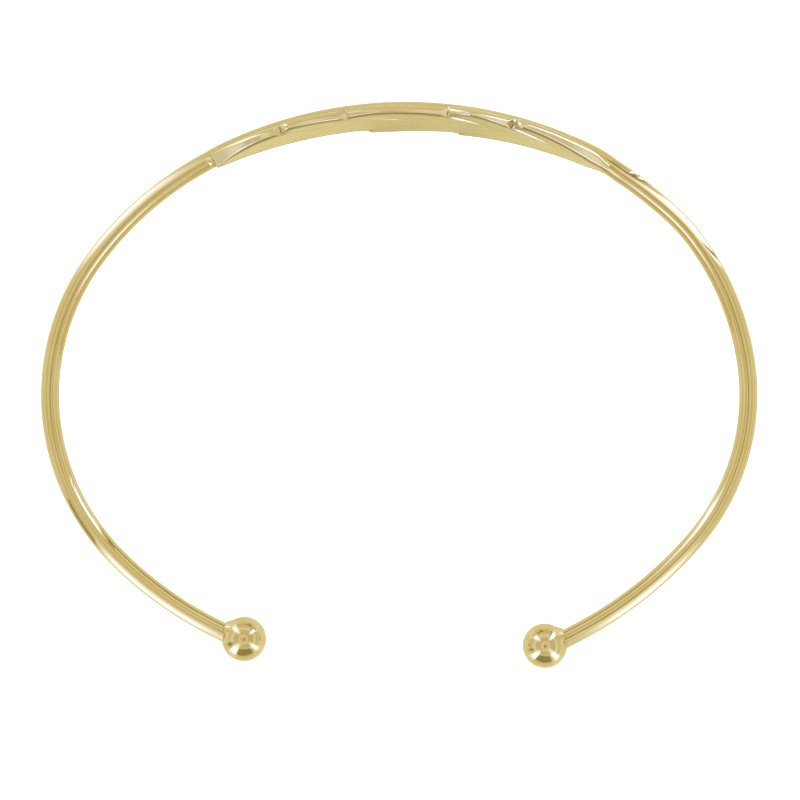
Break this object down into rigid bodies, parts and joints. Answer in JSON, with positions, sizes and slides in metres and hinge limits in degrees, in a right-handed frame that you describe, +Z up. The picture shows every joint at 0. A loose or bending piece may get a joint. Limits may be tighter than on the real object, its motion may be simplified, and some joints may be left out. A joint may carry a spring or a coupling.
{
  "type": "open bangle",
  "caption": "Open oval bangle of round wire with a feather-shaped front and a ball on each free end, slipped over the wrist.",
  "frame": {"origin": "middle of the overall box, on the surface the bangle lies on", "axes": "+Z up off the surface, +X along the bangle's width from left to right, +Y from the balls towards the feather"},
  "size_m": [0.063, 0.0496, 0.0108],
  "materials": {
    "band": "gold plated, polished wire, satin inner face on the feather",
    "ball": "gold plated, mirror polished"
  },
  "bodies": {
    "root": {"band": "band", "ball_left": "ball", "ball_right": "ball"}
  },
  "joints": []
}
